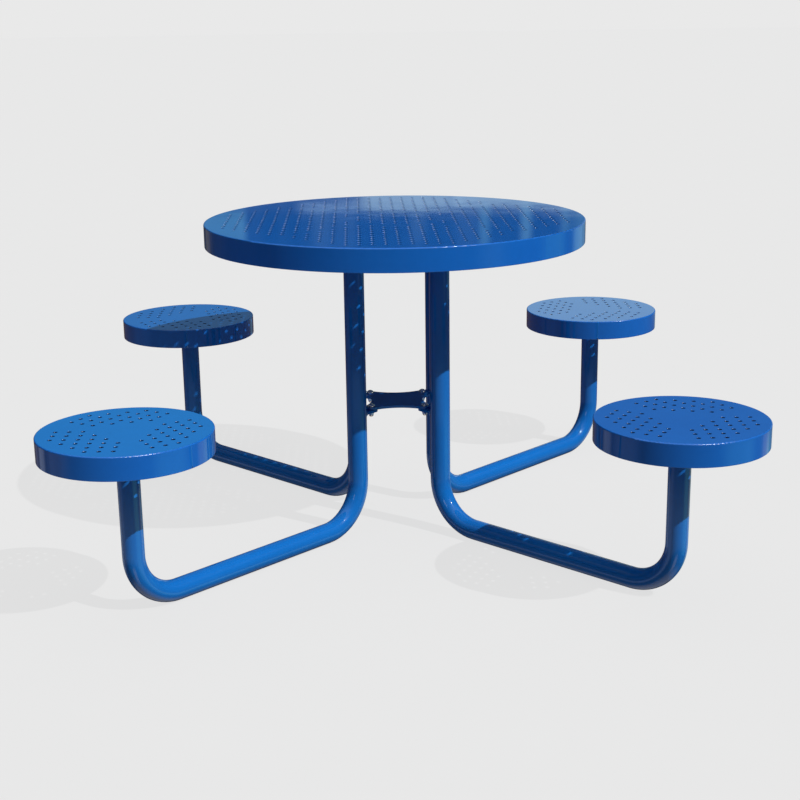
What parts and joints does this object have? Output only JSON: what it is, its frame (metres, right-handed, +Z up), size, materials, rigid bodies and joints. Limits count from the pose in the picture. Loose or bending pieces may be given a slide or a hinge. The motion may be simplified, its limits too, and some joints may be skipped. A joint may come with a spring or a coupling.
{
  "type": "round picnic table",
  "caption": "Round picnic table with a perforated metal top and round perforated seats on bent tubes joined by a central brace plate.",
  "frame": {"origin": "on the floor, on the table's vertical axis", "axes": "+Z up; the four frame tubes run along +X, +Y, -X and -Y"},
  "size_m": [2.004, 2.004, 0.76],
  "materials": {
    "blue_powder_coat": "glossy blue powder coat with a slight orange peel",
    "stainless": "bright stainless steel",
    "zinc_plate": "zinc-plated steel"
  },
  "bodies": {
    "root": {"tabletop_plate": "blue_powder_coat", "tabletop_skirt": "blue_powder_coat", "tabletop_channel_long": "blue_powder_coat", "tabletop_channel_front_left": "blue_powder_coat", "tabletop_channel_back_right": "blue_powder_coat", "frame_tube_front_right": "blue_powder_coat", "frame_tube_back_right": "blue_powder_coat", "frame_tube_back_left": "blue_powder_coat", "frame_tube_front_left": "blue_powder_coat", "tabletop_mount_plate_front_right": "blue_powder_coat", "tabletop_mount_plate_back_right": "blue_powder_coat", "tabletop_mount_plate_back_left": "blue_powder_coat", "tabletop_mount_plate_front_left": "blue_powder_coat", "brace_lug_front_right": "blue_powder_coat", "brace_lug_back_right": "blue_powder_coat", "brace_lug_back_left": "blue_powder_coat", "brace_lug_front_left": "blue_powder_coat", "seat_plate_front_right": "blue_powder_coat", "seat_plate_back_right": "blue_powder_coat", "seat_plate_back_left": "blue_powder_coat", "seat_plate_front_left": "blue_powder_coat", "seat_skirt_front_right": "blue_powder_coat", "seat_skirt_back_right": "blue_powder_coat", "seat_skirt_back_left": "blue_powder_coat", "seat_skirt_front_left": "blue_powder_coat", "seat_spider_front_right": "blue_powder_coat", "seat_spider_back_right": "blue_powder_coat", "seat_spider_back_left": "blue_powder_coat", "seat_spider_front_left": "blue_powder_coat", "seat_mount_plate_front_right": "blue_powder_coat", "seat_mount_plate_back_right": "blue_powder_coat", "seat_mount_plate_back_left": "blue_powder_coat", "seat_mount_plate_front_left": "blue_powder_coat", "brace_plate": "blue_powder_coat", "brace_bolts": "stainless", "brace_cap_nuts": "stainless", "tabletop_bolts": "zinc_plate", "tabletop_washers": "zinc_plate", "tabletop_nuts": "zinc_plate", "seat_bolts": "zinc_plate", "seat_washers": "zinc_plate", "seat_nuts": "zinc_plate"}
  },
  "joints": []
}
